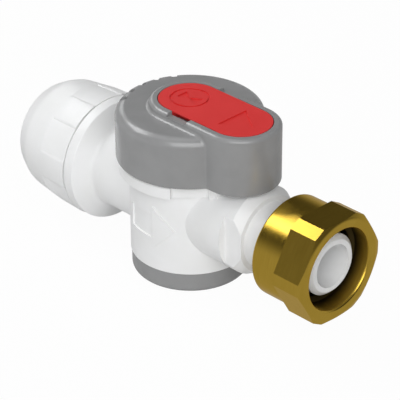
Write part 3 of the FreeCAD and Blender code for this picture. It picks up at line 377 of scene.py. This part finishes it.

# Floor: a wide pale sheet that the valve stands on. It shows white to the eye and grey in
# the metal, with painted shade there far out beyond the nut, and keeps a faint shadow of the
# valve.

floor_radius = 3.0
floor_sides = 64
floor_gap = 0.02 * MM
shown_share = 0.97
shown_in_metal = (0.5, 0.14)
painted_shade_over = (0.16, 0.32)
paper, tree, shader, place = material(
    "pale_floor", {"Base Color": linear("#DADADA"), "Roughness": 0.9, "Specular IOR Level": 0.0})
path = add(tree, "ShaderNodeLightPath").outputs
seen = path["Is Camera Ray"]
for ray in ("Is Glossy Ray", "Is Transmission Ray"):
    either = add(tree, "ShaderNodeMath", {"operation": "MAXIMUM"}, {0: seen, 1: path[ray]})
    seen = either.outputs["Value"]
# Painted shade: as seen in the metal, the floor's glow falls from 0.5 near the valve to 0.14 far
# out along X.
ahead = add(tree, "ShaderNodeSeparateXYZ", None, {"Vector": place}).outputs["X"]
bright = add(tree, "ShaderNodeMapRange", {"To Max": 1.0}, {
    "Value": path["Is Camera Ray"], "To Min": spread(tree, ahead, shown_in_metal, painted_shade_over)})
glow = add(tree, "ShaderNodeEmission", None, {"Strength": bright.outputs["Result"]})
blend = add(tree, "ShaderNodeMixShader", None, {
    "Fac": spread(tree, seen, (0.0, shown_share)), 1: shader.outputs[0], 2: glow.outputs[0]})
tree.links.new(blend.outputs[0], tree.nodes["Material Output"].inputs["Surface"])
sheet = bmesh.new()
bmesh.ops.create_circle(sheet, cap_ends=True, segments=floor_sides, radius=floor_radius)
bmesh.ops.translate(sheet, verts=sheet.verts, vec=(0, 0, cad_box[0][2] - floor_gap))
floor = new_object("floor", sheet)
floor.data.materials.append(paper)

# Camera: at the photograph's place, worked out from the round edges of base, lever and nut.
# Picture, focal length and optical axis are in pixels, sensor and aim in millimetres.

stem = Vector((52.4 * MM, 0, 0))
picture = 400
focal = 2048.13
axis_x, axis_y = 222.23, 165.29
sensor = 36.0
azimuth = 44.73
elevation = 29.29
aim_right, aim_up, aim_back = 7.93, 7.34, 514.03
near_clip = 0.01


def toward(azimuth, elevation):
    """The direction to a place at an azimuth and an elevation in degrees."""
    a = math.radians(azimuth)
    e = math.radians(elevation)
    return Vector((math.sin(a) * math.cos(e), -math.cos(a) * math.cos(e), math.sin(e)))


lens = bpy.data.cameras.new("camera")
lens.sensor_width = sensor
lens.lens = sensor * focal / picture
lens.shift_x = (picture / 2 - axis_x) / picture
lens.shift_y = (axis_y - picture / 2) / picture
lens.clip_start = near_clip
camera = bpy.data.objects.new("camera", lens)
bpy.context.scene.collection.objects.link(camera)
back = toward(azimuth, elevation)
right = Vector((math.cos(math.radians(azimuth)), math.sin(math.radians(azimuth)), 0))
up = back.cross(right)
target = stem + (aim_right * right + aim_up * up) * MM
turned = Matrix((right, up, back)).transposed().to_4x4()
camera.matrix_world = Matrix.Translation(target + back * aim_back * MM) @ turned
bpy.context.scene.camera = camera

# Light: a grey room, brighter on the nut's side and low down, with a dark card beyond the
# nut. A soft box and a rim light stand behind the pipe end, where the brass mirrors them,
# a lamp hangs overhead and a wide soft fill stands on the camera's side.

daylight = (0.985, 0.993, 1.0)
side_level, side_reach = (0.08, 0.38), (-0.61, 1.0)
skirting_level, skirting_reach = (0.46, 0.0), (0.0, 0.40)
card_toward = Vector((0.92, 0.38, 0.10)).normalized()
card_level, card_reach = (1.0, 0.12), (0.80, 0.92)
world = bpy.data.worlds.new("room")
bpy.context.scene.world = world
world.use_nodes = True
tree = world.node_tree
compass = add(tree, "ShaderNodeTexCoord").outputs["Generated"]
facing = add(tree, "ShaderNodeSeparateXYZ", None, {"Vector": compass}).outputs
level = add(tree, "ShaderNodeMath", {"operation": "ADD"}, {
    0: spread(tree, facing["X"], side_level, side_reach),
    1: spread(tree, facing["Z"], skirting_level, skirting_reach)})
card = add(tree, "ShaderNodeVectorMath", {"operation": "DOT_PRODUCT", 1: card_toward}, {
    0: compass})
room = add(tree, "ShaderNodeMath", {"operation": "MULTIPLY"}, {
    0: level.outputs["Value"], 1: spread(tree, card.outputs["Value"], card_level, card_reach)})
tree.links.new(room.outputs["Value"], tree.nodes["Background"].inputs["Strength"])
tree.nodes["Background"].inputs["Color"].default_value = (*daylight, 1.0)
for name, around, above, distance, wide, tall, power in (
        ("soft_box", -76.0, 48.0, 0.7, 0.50, 0.25, 1.85),
        ("overhead", -60.0, 82.0, 1.0, 0.7, 0.7, 1.05),
        ("rim_light", -112.0, 24.0, 0.8, 0.3, 0.2, 0.4),
        ("fill", 43.0, 33.0, 1.1, 1.0, 0.8, 7.6)):
    lamp = bpy.data.lights.new(name, "AREA")
    lamp.shape = "RECTANGLE"
    lamp.size = wide
    lamp.size_y = tall
    lamp.energy = power
    lamp.color = daylight
    box = bpy.data.objects.new(name, lamp)
    bpy.context.scene.collection.objects.link(box)
    away = toward(around, above)
    box.location = stem + away * distance
    box.rotation_euler = away.to_track_quat("Z", "Y").to_euler()

bpy.context.scene.view_settings.view_transform = "Standard"
